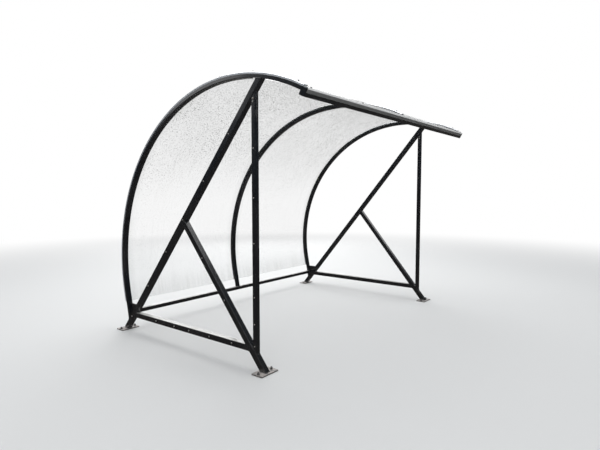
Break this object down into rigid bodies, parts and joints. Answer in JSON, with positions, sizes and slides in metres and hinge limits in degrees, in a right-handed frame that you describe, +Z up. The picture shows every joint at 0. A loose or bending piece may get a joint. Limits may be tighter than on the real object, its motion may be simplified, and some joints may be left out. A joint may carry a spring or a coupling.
{
  "type": "curved cycle shelter",
  "caption": "Open cycle shelter: bent square-tube hoops with braced end frames carry a clear curved roof and back.",
  "frame": {"origin": "on the floor, in the middle of the length and the depth of the shelter", "axes": "+X along the shelter, +Y to the closed back, -Y to the open front, +Z up"},
  "size_m": [3.19, 2.3888, 2.3019],
  "materials": {
    "black_paint": "semi-gloss",
    "base_plate_steel": "dull galvanised",
    "clear_sheet": "clear, dusty",
    "aluminium": "mill"
  },
  "bodies": {
    "root": {"back_rail": "black_paint", "far_back_base_plate": "base_plate_steel", "far_back_gusset": "black_paint", "far_beam_cap": "black_paint", "far_bottom_tie": "black_paint", "far_cover_strip": "aluminium", "far_diagonal_brace": "black_paint", "far_front_base_plate": "base_plate_steel", "far_front_leg": "black_paint", "far_front_post": "black_paint", "far_hoop": "black_paint", "far_roof_sheet": "clear_sheet", "front_beam": "black_paint", "front_edge_angle": "aluminium", "middle_cover_strip": "aluminium", "middle_hoop": "black_paint", "near_back_base_plate": "base_plate_steel", "near_back_gusset": "black_paint", "near_beam_cap": "black_paint", "near_bottom_tie": "black_paint", "near_cover_strip": "aluminium", "near_diagonal_brace": "black_paint", "near_front_base_plate": "base_plate_steel", "near_front_leg": "black_paint", "near_front_post": "black_paint", "near_hoop": "black_paint", "near_roof_sheet": "clear_sheet"}
  },
  "joints": []
}
